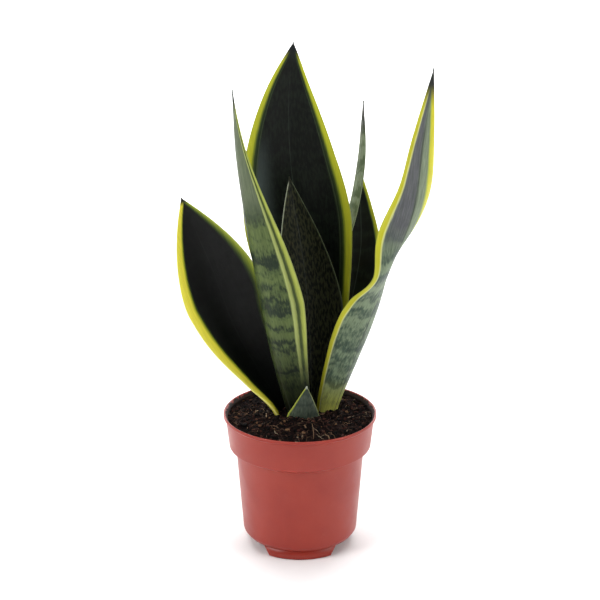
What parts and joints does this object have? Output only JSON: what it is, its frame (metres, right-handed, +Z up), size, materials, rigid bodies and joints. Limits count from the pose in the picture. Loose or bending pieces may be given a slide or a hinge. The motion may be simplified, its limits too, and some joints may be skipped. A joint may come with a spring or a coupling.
{
  "type": "potted snake plant",
  "caption": "Upright potted snake plant: sword-shaped, yellow-edged, cross-banded leaves rising from soil in a round terracotta-coloured plastic nursery pot with a rim band and feet.",
  "frame": {"origin": "on the pot's axis, in the plane that its feet stand on", "axes": "+Z up along the pot's axis; -Y towards the plant's best side, the one that shows its broad leaves; +X towards the twisted leaf that leans out on the right"},
  "size_m": [0.1927, 0.12, 0.3936],
  "materials": {
    "terracotta_plastic": "satin",
    "potting_mix": "matte",
    "rhizome_skin": "matte",
    "leaf": "satin"
  },
  "bodies": {
    "root": {"pot": "terracotta_plastic", "soil": "potting_mix", "rhizome": "rhizome_skin", "tall_back_leaf": "leaf", "left_leaf": "leaf", "front_left_leaf": "leaf", "centre_leaf": "leaf", "right_twisted_leaf": "leaf", "back_right_leaf": "leaf", "back_narrow_leaf": "leaf", "front_sheath_leaf": "leaf"}
  },
  "joints": []
}
